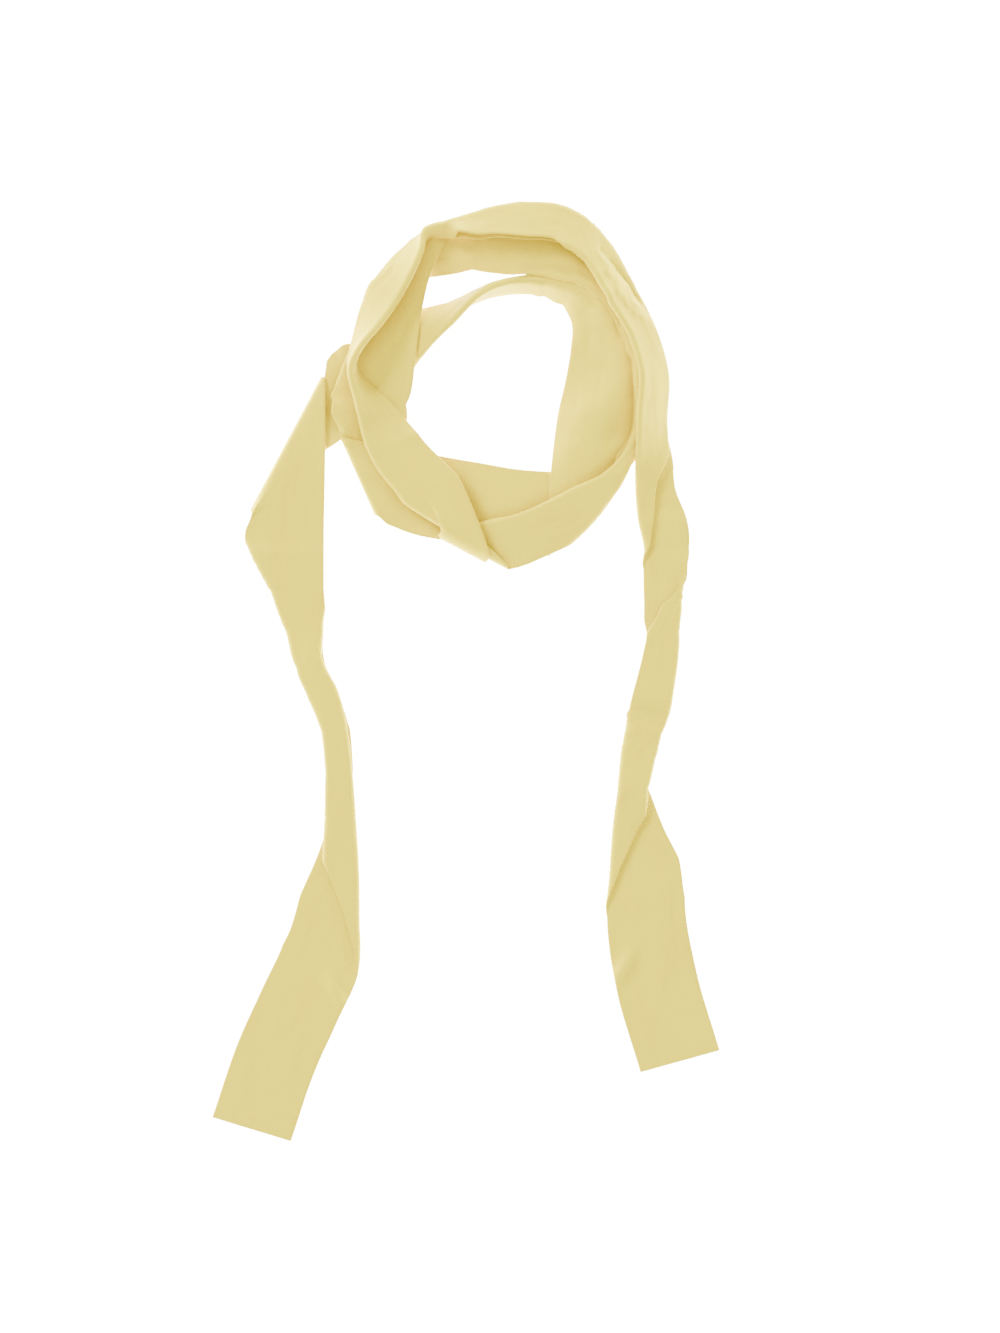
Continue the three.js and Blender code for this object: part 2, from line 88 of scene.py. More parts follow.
firstLoop = [
    [-103, 127, 0.6, 254, 60, 0, -180, -180, 1.2, 1.3, 1],
    [-74, 146, 0.6, 280, 51, 0, -180, -180, 1.08, 1.3, 1],
    [-58, 158, 0.8, 289, 52, 0, -180, -180, 0.92, 1.25, 0.92],
    [-40, 173, 2, 298, 50, 0, -180, -180, 0.72, 1.2, 0.72],
    [-32, 188, 2, 300, 50, 2, -178, -178, 0.62, 1.1, 0.62],
    [-23, 199, 6, 300, 50, 18, -162, -162, 0.56, 1, 0.56],
    [-14.5, 208, 12, 298, 46, 40, -134, -134, 0.54, 0.9, 0.54],
    [-5.5, 217, 17, 293, 42, 58, -112, -112, 0.52, 0.9, 0.52],
    [1.5, 225, 18.5, 287, 40, 70, -98, -98, 0.5, 0.8, 0.5],
    [10, 233, 19.5, 280, 40, 80, -86, -86, 0.5, 0.8, 0.5],
    [22, 239, 20, 276, 42, 84, -78, -78, 0.5, 0.8, 0.5],
    [32, 241.5, 20, 272, 42, 86, -74, -74, 0.5, 0.8, 0.5],
    [47, 243, 19.5, 266, 43, 88, -68, -64, 0.48, 0.8, 0.48],
    [61.5, 228, 0.8, 246, 45, 88, -66, -48, 0.42, 0.75, 1],
    [67.5, 216, 0.8, 221, 48, 86, -58, -22, 0.34, 0.66, 1],
    [67.2, 202, 0.8, 203, 50, 84, -36, -10, 0.25, 0.62, 1],
    [64.5, 184, 0.8, 186, 50, 56, -18, -10, 0.18, 0.6, 1],
    [59, 159, 0.8, 186, 54, 22, -4, -26, 0.34, 0.62, 1],
    [56, 137, 1, 190, 54, 16, -6, -28, 0.5, 0.7, 1],
    [53, 107, 3.2, 208, 58, 8, 0, -6, 0.3, 0.6, 1],
]

firstReturn = [
    [55, 96, 0.6, 237, 60, 0, 0, 0, 0.3, 0.7, 0.5],
    [33, 98, 0.6, 253, 53, 0, 0, 0, 0.3, 0.7, 0.5],
    [2, 104, 0.6, 261, 50, 0, 0, 0, 0.3, 0.7, 0.5],
    [-26, 109, 1.4, 261, 50, 0, 0, 0, 0.3, 0.7, 0.5],
    [-49, 115, 4.6, 272, 48, 0, 0, 0, 0.3, 0.7, 0.5],
]

secondLoop = [
    [-62, 147, 3.4, 329, 48, 176, -14, -2, -0.1, 0.5, 0.5],
    [-37, 165, 5.4, 353, 46, 176, -6, 6, -0.1, 0.6, 1],
    [-31, 194, 7.4, 352, 48, 174, -2, 12, 0.14, 0.8, 1],
    [-27, 224, 7.4, 352, 50, 176, -2, 10, 0.25, 0.8, 1],
    [-22, 245, 6.4, 364, 50, 178, 0, 6, 0.28, 0.8, 1],
    [-17, 257, 5.6, 386, 54, 178, 0, 0, 0.28, 0.7, 1],
]

secondReturn = [
    [-13, 255, 0.6, 48, 44, 0, 0, -180, 0.3, 1.2, 0.3],
    [5, 250, 0.6, 72, 36, 6, 4, -180, 0.3, 1.2, 0],
    [26, 247, 0.6, 88, 39, 6, 4, -180, 0.3, 1.2, 0],
    [47, 245, 0.6, 86, 42, 8, 6, -180, 0.3, 1.15, 0],
    [68, 241, 0.8, 68, 46, 18, 2, -180, 0.3, 0.77, 0],
    [80, 242, 6, 53, 42, 30, -14, -180, 0.34, 0.6, 0.17],
    [91, 240, 11, 38, 38, 42, -32, -180, 0.4, 0.64, 0.4],
    [102, 223, 12.5, 21, 36, 56, -40, -180, 0.39, 0.64, 0.39],
    [106, 202, 13, 8, 40, 76, -42, -180, 0.35, 0.7, 0.35],
    [107.5, 180, 13, 1, 40, 84, -42, -180, 0.35, 0.7, 0.35],
    [108, 162, 13, -4, 40, 86, -42, -180, 0.35, 0.7, 0.35],
    [106, 146, 13, -14, 38, 92, -44, -180, 0.37, 0.71, 0.37],
    [98, 132, 12.5, -36, 35, 124, -40, -180, 0.4, 0.7, 0.4],
    [86, 121, 11, -48, 40, 166, -22, -180, 0.375, 0.77, 0.375],
    [69, 113, 10, -62, 50, 172, -14, -180, 0.36, 0.89, 0.36],
    [53, 105, 8.4, -74, 50, 174, -10, -180, 0.37, 1.05, 0.37],
    [35, 97, 6.8, -80, 50, 176, -6, -180, 0.36, 1.2, 0.36],
    [14, 92, 6.4, -66, 54, 178, -4, -180, 0.39, 1.2, 0.39],
]

thirdLoop = [
    [-38, 104, 10.2, 206, 54, 0, -180, -180, 0.7, 1.1, 0.7],
    [-59, 134, 10.4, 203, 50, 8, -172, -172, 0.66, 1, 0.66],
    [-67, 165, 15, 188, 46, 42, -132, -132, 0.56, 0.9, 0.56],
    [-70, 188, 24, 176, 38, 84, -86, -86, 0.5, 0.8, 0.5],
    [-64, 199, 25, 156, 38, 100, -72, -72, 0.5, 0.8, 0.5],
    [-52, 213, 22.5, 149, 44, 124, -46, -46, 0.5, 0.8, 0.5],
    [-40, 230, 20, 148, 48, 138, -34, -32, 0.5, 0.8, 0.5],
    [-30, 250, 21, 146, 46, 120, -50, -50, 0.5, 0.8, 0.5],
    [-26, 261, 19, 140, 36, 104, -60, -60, 0.5, 0.8, 0.5],
    [-24.5, 272.5, 16, 133, 31, 76, -95, -95, 0.5, 0.8, 0.5],
    [-16.5, 277, 13, 126, 27, 44, -130, -130, 0.5, 0.8, 0.5],
    [-12.5, 278.4, 10, 121, 25, 0, -166, -166, 0.5, 0.8, 0.5],
    [-8, 279.8, 8, 117, 26, -38, -200, -200, 0.5, 0.8, 0.5],
    [2, 283, 6, 111, 35, -32, -200, -200, 0.5, 0.8, 0.5],
    [14, 287, 5.6, 106, 40, -26, -200, -200, 0.5, 0.8, 0.5],
]

thirdTop = [
    [35, 291, 5, 93, 50, 160, -24, -200, -0.1, 0.5, 0.5],
    [60, 289, 5, 78, 50, 160, -22, -200, -0.1, 0.5, 0.5],
    [77, 280, 6, 60, 50, 160, -26, -204, 0.02, 0.56, 0.56],
    [90, 266, 6, 45, 50, 156, -34, -206, 0.24, 0.76, 0.76],
    [105, 240, 3.6, 28, 50, 138, -48, -206, 0.42, 1, 1],
    [119, 212, 3, 15, 50, 134, -48, -206, 0.5, 1.15, 1],
    [127, 184, 3, 2, 50, 134, -46, -206, 0.5, 1.2, 1],
    [126, 156, 3, -6, 50, 136, -44, -206, 0.5, 1.2, 1],
]

rightTail = [
    [107, 134, 12, -4, 48, 360, 156, -27, -0.1, 0.54, 0.54],
    [107, 117, 5, 0, 38, 360, 172, -3, -0.1, 0.65, 0.65],
    [109, 92, 3.4, 0, 39.5, 360, 180, 0, -0.1, 0.77, 0.77],
    [112.5, 76, 2.4, 0, 31.5, 360, 180, 0, -0.1, 0.89, 0.89],
    [112.3, 62, 1.6, 0, 26.3, 360, 180, 0, -0.1, 1.1, 1],
    [112.4, 56, 1.6, 0, 26, 360, 180, 0, -0.03, 1.1, 1],
    [112.5, 50, 2, 0, 27.5, 360, 180, 0, 0.11, 1.1, 1],
    [112.8, 40, 2, 0, 35.3, 360, 180, 0, 0.34, 1.1, 1],
    [112.8, 30, 2, 0, 38.5, 360, 180, 0, 0.42, 1.1, 1],
    [114.4, 22, 2, 0, 40, 360, 180, 0, 0.5, 1.1, 1],
    [112.6, 12, 2, -2, 43, 360, 180, 0, 0.5, 1.1, 1],
    [105, -18, 3, -9, 50, 360, 180, 0, 0.5, 1.05, 1],
]

tailEnd = [
    [103.5, -25, 3.5, -9, 50, 540, 360, 180, -0.06, 0.5, 0],
    [101, -36, 3.3, -9, 50, 540, 360, 180, 0.12, 0.6, 0.12],
    [98.7, -48, 3.6, -6, 50, 538, 360, 180, 0.27, 0.74, 0.27],
    [96, -74, 5, 0, 50, 534, 360, 178, 0.38, 0.78, 0.38],
    [92.8, -100, 2, 8, 48, 540, 360, 180, 0.64, 1.1, 0.64],
    [91, -127, 1.6, 12, 50, 540, 360, 180, 0.88, 1.3, 0.88],
    [89.6, -155, 0.9, 14, 49, 540, 360, 180, 1.05, 1.3, 1],
    [95.3, -199, 0.6, 15, 50, 540, 360, 180, 1.1, 1.3, 1],
    [110.4, -251.2, 0.6, 15.5, 50, 540, 360, 180, 1.15, 1.3, 1],
]

# Slanted folds, where the whole band turns over along a straight crease: x, y, the height before and after
# it, the direction in which the crease faces, then across and the rest as above
creases = {
    "leftTail": [-110, 140, 3, 0.6, 152, 242, 94, 0, 0, 0, 0.3, 0.7, 0.5],
    "lowerRight": [75, 98, 3.2, 0.6, -42, 228, 70, 0, 0, 0, 0.3, 0.7, 0.5],
    "lowerLeft": [-65, 120, 5.2, 2.6, 156, 294, 52, 0, 0, 0, 0.3, 0.7, 0.5],
    "upperLeft": [-9, 276, 4.6, 0.8, 125, 35, 51, 0, 0, 0, 0.3, 0.7, 1],
    "bottom": [-14, 86, 4.6, 10.2, 240, -28, 80, 180, 0, 0, 0.42, 0.8, 0.42],
}
# The whole band in its order, each stretch with its tables; a slanted fold follows each but the last
stretches = [
    ([leftTail], "leftTail"),
    ([firstLoop], "lowerRight"),
    ([firstReturn], "lowerLeft"),
    ([secondLoop], "upperLeft"),
    ([secondReturn], "bottom"),
    ([thirdLoop, thirdTop, rightTail, tailEnd], None),
]


# A table with more rows: places and directions follow a smooth line through the given rows, and slopes and
# folds change evenly from row to row
def denserRows(table):
    rows = np.array(table, float)
    gaps = np.linalg.norm(np.diff(rows[:, :2], axis=0), axis=1)
    count = np.maximum(1, np.round(gaps / band["rowSpacing"]).astype(int))
    part = np.repeat(np.arange(len(count)), count)
    first = np.repeat(np.cumsum(count) - count, count)
    u = ((np.arange(len(part)) - first) / count[part])[:, None]
    knots = np.append(0, np.cumsum(np.maximum(gaps, 1)))
    tangents = np.gradient(rows, knots, axis=0)
    step = np.diff(knots)[part][:, None]
    smooth = (
        (2 * u**3 - 3 * u**2 + 1) * rows[part] + (u**3 - 2 * u**2 + u) * step * tangents[part]
        + (-2 * u**3 + 3 * u**2) * rows[part + 1] + (u**3 - u**2) * step * tangents[part + 1]
    )
    even = rows[part] * (1 - u) + rows[part + 1] * u
    made = np.hstack([smooth[:, :5], even[:, 5:]])
    return np.vstack([made, rows[-1:]])


# A slanted fold is three sections: before it, at its outer side and after it, turned by 0, 90 and 180 degrees
def creaseRows(crease):
    x, y, before, after, out, *rest = crease
    turned = np.radians([0.0, 90.0, 180.0])
    rise = after - before
    facing = np.array([np.cos(np.radians(out)), np.sin(np.radians(out))])
    places = np.array([x, y]) + np.outer(np.sin(turned), facing) * abs(rise) / 2
    heights = before + rise * turned / np.pi
    up = np.c_[-np.sign(rise) * np.outer(np.sin(turned), facing), np.cos(turned)]
    return np.c_[places, heights, np.tile(rest, (3, 1))], up


# All sections under each other, with the direction in which each one's slope rises and its stretch
def allSections():
    rows, ups, which = [], [], []
    for number, (tables, crease) in enumerate(stretches):
        these = np.vstack([denserRows(table) for table in tables])
        rows.append(these)
        ups.append(np.tile([0.0, 0.0, 1.0], (len(these), 1)))
        which.append(np.full(len(these), float(number)))
        if crease:
            these, up = creaseRows(creases[crease])
            rows.append(these)
            ups.append(up)
            which.append(np.full(3, number + 0.5))
    return np.vstack(rows), np.vstack(ups), np.concatenate(which)


# A slope goes from one value to the next over an arc of cloth centred on its place
def turnShare(change, place, at, width):
    arc = np.where(np.abs(change) > band["flatHalfTurn"], band["sharpArc"], band["softArc"])
    return change * np.clip((place - at) * width / arc + 0.5, 0, 1)


# Points of every section from A to B: the sum of small steps at the slope a + (m - a) share + (b - m) share
def sectionPoints(rows, ups):
    fine = 8  # small steps from one point of the section to the next
    count = band["acrossSteps"] * fine
    x, y, z, across, width, a, m, b, fa, fb, pin = rows.T[:, :, None]
    place = (np.arange(count) + 0.5)[None, :] / count
    slope = np.radians(a + turnShare(m - a, place, fa, width) + turnShare(b - m, place, fb, width))
    steps = np.stack([np.cos(slope), np.sin(slope)], 2) * (width / count)[..., None]
    path = np.concatenate([np.zeros((len(rows), 1, 2)), np.cumsum(steps, 1)], 1)
    pinned = path[np.arange(len(rows)), np.round(pin[:, 0] * count).astype(int)][:, None]
    level = ups[:, 2] == 1
    lowest = z[:, 0] + (path - pinned)[:, :, 1].min(1)
    lift = np.where(level, np.maximum(0, band["thickness"] / 2 - lowest), 0)
    flat = (path - pinned)[:, ::fine]
    plan = np.c_[np.cos(np.radians(across)), np.sin(np.radians(across)), np.zeros(len(rows))]
    pins = np.c_[x[:, 0], y[:, 0], z[:, 0] + lift]
    return pins[:, None] + flat[..., :1] * plan[:, None] + flat[..., 1:] * ups[:, None]


# Smooth lines along the band through the same point of every section: a cubic between neighbours, whose
# tangents are those of a curve that passes them at times of the square root of their distances
def alongLines(keys, which):
    before = np.concatenate([2 * keys[:1] - keys[1:2], keys[:-2]])
    p0, p1, p2 = before, keys[:-1], keys[1:]
    p3 = np.concatenate([keys[2:], 2 * keys[-1:] - keys[-2:-1]])
    gap = lambda p, q: np.maximum(np.linalg.norm(q - p, axis=2, keepdims=True), 1e-4) ** 0.5
    d0, d1, d2 = gap(p0, p1), gap(p1, p2), gap(p2, p3)
    t1 = ((p1 - p0) / d0 - (p2 - p0) / (d0 + d1) + (p2 - p1) / d1) * d1
    t2 = ((p2 - p1) / d1 - (p3 - p1) / (d1 + d2) + (p3 - p2) / d2) * d1
    reach = np.linalg.norm(p2 - p1, axis=2).max(1)
    count = np.maximum(1, np.round(reach / band["stationSpacing"]).astype(int))
    part = np.repeat(np.arange(len(count)), count)
    first = np.repeat(np.cumsum(count) - count, count)
    u = ((np.arange(len(part)) - first) / count[part])[:, None, None]
    points = (
        (2 * u**3 - 3 * u**2 + 1) * p1[part] + (u**3 - 2 * u**2 + u) * t1[part]
        + (-2 * u**3 + 3 * u**2) * p2[part] + (u**3 - u**2) * t2[part]
    )
    stretch = which[part] + (which[part + 1] - which[part]) * u[:, 0, 0]
    return np.concatenate([points, keys[-1:]]), np.append(stretch, which[-1])


# Pairs of points that lie within a short reach of each other on the plan, found by sorting them into cells
def closePairs(flat, reach):
    cells = np.floor(flat[:, :2] / reach).astype(np.int64)
    cells -= cells.min(0) - 1
    stride = cells[:, 1].max() + 2
    key = cells[:, 0] * stride + cells[:, 1]
    order = np.argsort(key, kind="stable")
    sortedKey = key[order]
    firsts, seconds = [], []
    for step in [0, 1, stride - 1, stride, stride + 1]:
        low = np.searchsorted(sortedKey, key + step, "left")
        number = np.searchsorted(sortedKey, key + step, "right") - low
        i = np.repeat(np.arange(len(flat)), number)
        inRun = np.arange(len(i)) - np.repeat(np.cumsum(number) - number, number)
        j = order[np.repeat(low, number) + inRun]
        near = np.linalg.norm(flat[i, :2] - flat[j, :2], axis=1) < reach
        keep = near & ((i < j) if step == 0 else (i != j))
        firsts.append(np.minimum(i, j)[keep])
        seconds.append(np.maximum(i, j)[keep])
    return np.concatenate(firsts), np.concatenate(seconds)


# Layers are lifted apart where the band crosses itself. A later stretch lies on an earlier one, but under the
# one that it follows round a slanted fold, apart from the last fold, which goes over the top. Two points of
# one stretch keep the order that their own folds give them. Only heights change, so the outline stays.
def settle(points, stretch):
    stations, perStation = points.shape[:2]
    flat = points.reshape(-1, 3)
    centre = points[:, perStation // 2]
    length = np.append(0, np.cumsum(np.linalg.norm(np.diff(centre, axis=0), axis=1)))
    along = np.repeat(length, perStation)
    wide = np.tile(np.linspace(0, band["width"], perStation), stations)
    table = np.repeat(np.floor(stretch + 0.5).astype(int), perStation)
    upright = np.abs(gridNormals(points)[..., 2].reshape(-1)) < layers["upright"]
    i, j = closePairs(flat, layers["reach"])
    apart = np.hypot(along[i] - along[j], wide[i] - wide[j]) > layers["ownCloth"]
    keep = apart & ~upright[i] & ~upright[j]
    i, j = i[keep], j[keep]
    rise = flat[j, 2] - flat[i, 2]
    jump = table[j] - table[i]
    goesUnder = (jump == 1) & (table[i] < layers["topStretch"])
    above = np.where(jump == 0, np.sign(rise), np.where(goesUnder, -1, 1))
    distance = np.linalg.norm(flat[i, :2] - flat[j, :2], axis=1) / layers["reach"]
    need = layers["clearance"] * np.sqrt(np.maximum(0, 1 - distance**2))
    need = np.where((jump == 0) & (np.abs(rise) < layers["unclear"]), 0, need)
    start = flat[:, 2].copy()
    height = start.copy()
    floor = band["thickness"] / 2
    for turn in range(layers["turns"]):
        short = need - above * (height[j] - height[i])
        short = np.maximum(short, 0) * layers["push"] * above
        up = np.zeros(len(flat))
        down = np.zeros(len(flat))
        np.maximum.at(up, j, short)
        np.maximum.at(up, i, -short)
        np.minimum.at(down, j, short)
        np.minimum.at(down, i, -short)
        change = (height + up + down - start).reshape(stations, perStation)
        if turn < layers["smoothTurns"]:
            padded = np.pad(change, 1, mode="edge")
            around = (padded[2:, 1:-1] + padded[:-2, 1:-1] + padded[1:-1, 2:] + padded[1:-1, :-2]) / 4
            change += layers["smooth"] * (around - change)
        height = np.maximum(start + change.reshape(-1), floor)
    print("layers: pairs", len(i), "lifted by at most", round(float((height - start).max()), 1), "mm")
    flat = flat.copy()
    flat[:, 2] = height
    return flat.reshape(points.shape)


# Direction in which the cloth faces: the product of its two directions on the grid
def gridNormals(points):
    normals = np.cross(np.gradient(points, axis=1), np.gradient(points, axis=0))
    return normals / np.maximum(np.linalg.norm(normals, axis=2, keepdims=True), 1e-9)


# The closed shell. Round each station runs a loop: the upper face, a half circle round edge B, the lower
# face back, and a half circle round edge A. At the two ends the loop's thickness falls along most of a
# quarter circle.
def shell(points, normals):
    half = band["thickness"] / 2
    turn = np.radians(np.array([45.0, 90.0, 135.0]))[None, :, None]
    outB = points[:, -1] - points[:, -2]
    outA = points[:, 0] - points[:, 1]
    outB /= np.linalg.norm(outB, axis=1, keepdims=True)
    outA /= np.linalg.norm(outA, axis=1, keepdims=True)
    upper = normals * half
    roundB = half * (np.cos(turn) * normals[:, -1:] + np.sin(turn) * outB[:, None])
    roundA = half * (-np.cos(turn) * normals[:, :1] + np.sin(turn) * outA[:, None])
    offsets = np.concatenate([upper, roundB, -upper[:, ::-1], roundA], 1)
    count = len(turn[0])
    middles = np.concatenate([
        points, np.repeat(points[:, -1:], count, 1), points[:, ::-1], np.repeat(points[:, :1], count, 1),
    ], 1)
    angle = np.radians(np.array([25.0, 50.0, 75.0]))[:, None, None]
    firstWay = points[0] - points[1]
    firstWay = (firstWay / np.linalg.norm(firstWay, axis=1, keepdims=True)).mean(0)
    lastWay = points[-1] - points[-2]
    lastWay = (lastWay / np.linalg.norm(lastWay, axis=1, keepdims=True)).mean(0)
    rim = np.sin(angle) * half
    head = (middles[0] + firstWay * rim + offsets[0] * np.cos(angle))[::-1]
    tail = middles[-1] + lastWay * rim + offsets[-1] * np.cos(angle)
    return np.concatenate([head, middles + offsets, tail])


# Loops become quads. Each end is closed by quads from its upper points, beginning in the middle of the half
# circle round edge A, to the lower points, which go back from there.
def bandObject(name, loops):
    rings, perRing = loops.shape[:2]
    index = np.arange(rings * perRing).reshape(rings, perRing)
    nextOne = np.roll(index, -1, 1)
    quads = np.stack([index[:-1], nextOne[:-1], nextOne[1:], index[1:]], 2).reshape(-1, 4)
    middleA = perRing - 2
    steps = np.arange(perRing // 2)
    up = (middleA + steps) % perRing
    down = middleA - 1 - steps
    cap = np.stack([up[:-1], down[:-1], down[1:], up[1:]], 1)
    faces = np.concatenate([quads, cap, cap[:, ::-1] + index[-1, 0]])
    mesh = bpy.data.meshes.new(name)
    mesh.from_pydata((loops.reshape(-1, 3) * mm).tolist(), [], faces.tolist())
    mesh.shade_smooth()
    obj = bpy.data.objects.new(name, mesh)
    bpy.context.collection.objects.link(obj)
    return obj


# Small puckers near the tails' ends: x, y, the direction along the pucker in degrees, its length, width and
# height
puckers = [
    (-80.0, -203.0, 118.0, 13.0, 4.5, 3.2),
    (98.5, -188.0, 62.0, 13.0, 4.5, 3.2),
]


# Each pucker lifts a tail's cloth, the first or the last stretch, by its height times
# exp(-(distance along it / length)^2 - (distance across it / width)^2)
def pucker(points, stretch):
    number = np.floor(stretch + 0.5)
    tails = ((number == 0) | (number == len(stretches) - 1))[:, None]
    for x, y, way, length, width, height in puckers:
        turned = np.radians(way)
        dx, dy = points[..., 0] - x, points[..., 1] - y
        lengthwise = (dx * np.cos(turned) + dy * np.sin(turned)) / length
        crosswise = (dy * np.cos(turned) - dx * np.sin(turned)) / width
        points[..., 2] += tails * height * np.exp(-lengthwise**2 - crosswise**2)
    return points


# Painted shade beside and under higher cloth, darkening each crevice in the colour
paintedCreviceShade = {
    "reach": 9.0,  # mm on the plan
    "least": 1.0,  # mm, a smaller rise gives no painted shade
    "height": 7.0,  # mm more give the whole
    "soften": 3,  # times that each value is averaged with its neighbours
}


# Share of painted shade of each point, from 0 to 1: the largest product, over the points near it, of
# (rise - least) / height and 1 - distance / reach
def creviceShadeShare(points):
    flat = points.reshape(-1, 3)
    i, j = closePairs(flat, paintedCreviceShade["reach"])
    rise = flat[j, 2] - flat[i, 2]
    near = 1 - np.linalg.norm(flat[i, :2] - flat[j, :2], axis=1) / paintedCreviceShade["reach"]
    share = np.clip((np.abs(rise) - paintedCreviceShade["least"]) / paintedCreviceShade["height"], 0, 1) * near
    paintedShade = np.zeros(len(flat))
    np.maximum.at(paintedShade, np.where(rise > 0, i, j), share)
    paintedShade = paintedShade.reshape(points.shape[:2])
    for turn in range(paintedCreviceShade["soften"]):
        padded = np.pad(paintedShade, 1, mode="edge")
        around = padded[2:, 1:-1] + padded[:-2, 1:-1] + padded[1:-1, 2:] + padded[1:-1, :-2]
        paintedShade = (paintedShade + around / 4) / 2
    return paintedShade


# Where each point lies on the cloth, in millimetres along and across it, and its share of painted shade;
# both faces have the same values
def clothPlaces(mesh, points, grid):
    perStation = points.shape[1]
    centre = points[:, perStation // 2]
    length = np.append(0, np.cumsum(np.linalg.norm(np.diff(centre, axis=0), axis=1)))
    length = np.pad(length, (grid[0] - len(length)) // 2, mode="edge")
    wide = np.linspace(0, band["width"], perStation)
    count = (grid[1] - 2 * perStation) // 2
    aroundLoop = np.concatenate([wide, np.full(count, band["width"]), wide[::-1], np.zeros(count)])
    paintedShade = creviceShadeShare(points)
    paintedShade = np.concatenate([
        paintedShade, np.repeat(paintedShade[:, -1:], count, 1), paintedShade[:, ::-1], np.repeat(paintedShade[:, :1], count, 1),
    ], 1)
    places = np.zeros(grid + (3,))
    places[..., 0] = length[:, None]
    places[..., 1] = aroundLoop
    places[..., 2] = np.pad(paintedShade, (((grid[0] - len(paintedShade)) // 2,) * 2, (0, 0)), mode="edge")
    attribute = mesh.attributes.new("clothPlaceAndPaintedShade", "FLOAT_VECTOR", "POINT")
    attribute.data.foreach_set("vector", places.reshape(-1).astype(np.float32))


rows, ups, which = allSections()
points, stretch = alongLines(sectionPoints(rows, ups), which)
points[..., 2] = np.maximum(points[..., 2], band["thickness"] / 2)
print("band: stations", len(points))
points = pucker(settle(points, stretch), stretch)
points -= np.append(band["origin"], 0)
loops = shell(points, gridNormals(points))
scarf = bandObject("scarf", loops)
clothPlaces(scarf.data, points, loops.shape[:2])
print("scarf: faces", len(scarf.data.polygons))
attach(scarf, "root")
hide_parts("scarf_band")

# Cloth: smooth pale yellow double cloth with a fine rib, slightly uneven tone, soft small creases and a
# turned edge along both sides; painted shade between the ribs, at both edges and in each crevice
cloth = {
    "light": (0.85, 0.70, 0.004, 1),
    "deep": (0.76, 0.57, 0.002, 1),
    "paintedShade": (0.50, 0.35, 0.002, 1),  # painted shade in each crevice
    # how much of the painted crevice shade goes into the colour
    "paintedShadeStrength": 0.6,
    "slowTone": (1.1, -0.28),  # share of the deep colour: noise times the first, plus the second
    "paintedRibShade": -0.10,  # less of the deep colour on the ribs: painted shade between them
    "paintedEdgeShade": 0.35,  # more of the deep colour at the edges: painted shade
    "roughness": 0.66,
    "specular": 0.08,
    "sheen": 0.04,
    "sheenRoughness": 0.45,
    "sheenTint": (1.0, 0.93, 0.62, 1),
    "ribs": 1.6,  # mm from rib to rib
    "threads": 1.3,  # threads along the cloth to each rib across it
    "threadHeight": 0.35,  # of a rib's
    "creaseAlong": 0.035,  # creases per mm
    "creaseAcross": 0.085,
    "creaseRoughness": 0.45,
    "edge": 1.6,  # mm of the painted shade at each edge of the band
    "broadBump": (0.4, 0.003),  # strength and distance in metres
    "fineBump": (0.25, 0.00015),
}


# A node group with its own sockets: name, then (socket name, socket type) for what goes in and what comes out
def nodeGroup(name, inputs, outputs):
    group = bpy.data.node_groups.new(name, "ShaderNodeTree")
    for socket, kind in inputs:
        group.interface.new_socket(socket, in_out="INPUT", socket_type=kind)
    for socket, kind in outputs:
        group.interface.new_socket(socket, in_out="OUTPUT", socket_type=kind)
    start = group.nodes.new("NodeGroupInput")
    end = group.nodes.new("NodeGroupOutput")
    return group, start, end


def mathNode(tree, operation, first, second=None, third=None):
    node = tree.nodes.new("ShaderNodeMath")
    node.operation = operation
    for socket, value in zip(node.inputs, (first, second, third)):
        if value is None:
            continue
        if isinstance(value, (int, float)):
            socket.default_value = value
        else:
            tree.links.new(value, socket)
    return node.outputs[0]


# Fine ribs across the cloth and the threads along it, as a height from 0 to 1
def ribGroup():
    group, start, end = nodeGroup(
        "fineRib",
        [("Along", "NodeSocketFloat"), ("Across", "NodeSocketFloat")],
        [("Height", "NodeSocketFloat")],
    )
    turns = 2 * np.pi / cloth["ribs"]
    ribs = mathNode(group, "SINE", mathNode(group, "MULTIPLY", start.outputs["Along"], turns))
    across = mathNode(group, "MULTIPLY", start.outputs["Across"], turns * cloth["threads"])
    threads = mathNode(group, "SINE", across)
    both = mathNode(group, "MULTIPLY_ADD", threads, cloth["threadHeight"], ribs)
    halfHeight = 0.37  # brings the sum of both waves, -1.35 to 1.35, to a height from 0 to 1
    group.links.new(mathNode(group, "MULTIPLY_ADD", both, halfHeight, 0.5), end.inputs["Height"])
    return group


# Soft small creases that run along the band, as a height, and the slow change of tone of the cloth
def creaseGroup():
    group, start, end = nodeGroup(
        "softCreases",
        [("Place", "NodeSocketVector")],
        [("Height", "NodeSocketFloat"), ("Tone", "NodeSocketFloat")],
    )
    scaled = group.nodes.new("ShaderNodeVectorMath")
    scaled.operation = "MULTIPLY"
    scaled.inputs[1].default_value = (cloth["creaseAlong"], cloth["creaseAcross"], 0)
    group.links.new(start.outputs["Place"], scaled.inputs[0])
    noises = [("Height", 1.0, 2.0), ("Tone", 0.7, 4.0)]  # what it is for, its scale and its detail
    for socket, scale, detail in noises:
        noise = group.nodes.new("ShaderNodeTexNoise")
        noise.inputs["Scale"].default_value = scale
        noise.inputs["Detail"].default_value = detail
        noise.inputs["Roughness"].default_value = cloth["creaseRoughness"]
        group.links.new(scaled.outputs[0], noise.inputs["Vector"])
        group.links.new(noise.outputs[0], end.inputs[socket])
    return group


